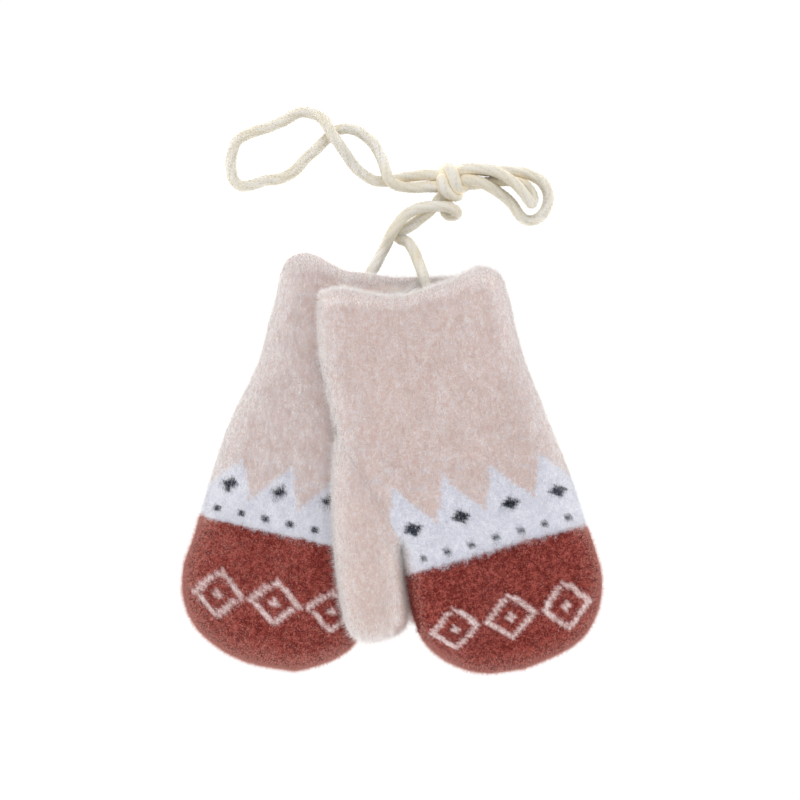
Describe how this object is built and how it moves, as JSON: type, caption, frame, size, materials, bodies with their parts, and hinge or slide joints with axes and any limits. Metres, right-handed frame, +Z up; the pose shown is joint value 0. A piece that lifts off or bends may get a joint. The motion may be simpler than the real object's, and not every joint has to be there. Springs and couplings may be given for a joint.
{
  "type": "pair of baby mittens",
  "caption": "Pair of brushed-knit baby mittens with set-on thumbs, laid flat one over the other, joined by a knitted cord with a knot.",
  "frame": {"origin": "on the surface under the middle of the two mittens, the cord left out", "axes": "+Y from the toes towards the mouths, +X towards the upper mitten's little finger side, +Z up"},
  "size_m": [0.1475, 0.1988, 0.0174],
  "materials": {
    "hand_knit": "brushed wool knit in pale pink, with a white band and a rust toe",
    "thumb_knit": "brushed wool knit in pale pink",
    "cord_yarn": "knitted cream yarn"
  },
  "bodies": {
    "root": {"hand_left": "hand_knit", "thumb_left": "thumb_knit", "hand_right": "hand_knit", "thumb_right": "thumb_knit", "cord_left_leg": "cord_yarn", "cord_small_loop": "cord_yarn", "cord_side_loop": "cord_yarn", "cord_big_loop": "cord_yarn", "cord_right_leg": "cord_yarn", "cord_knot": "cord_yarn"}
  },
  "joints": []
}
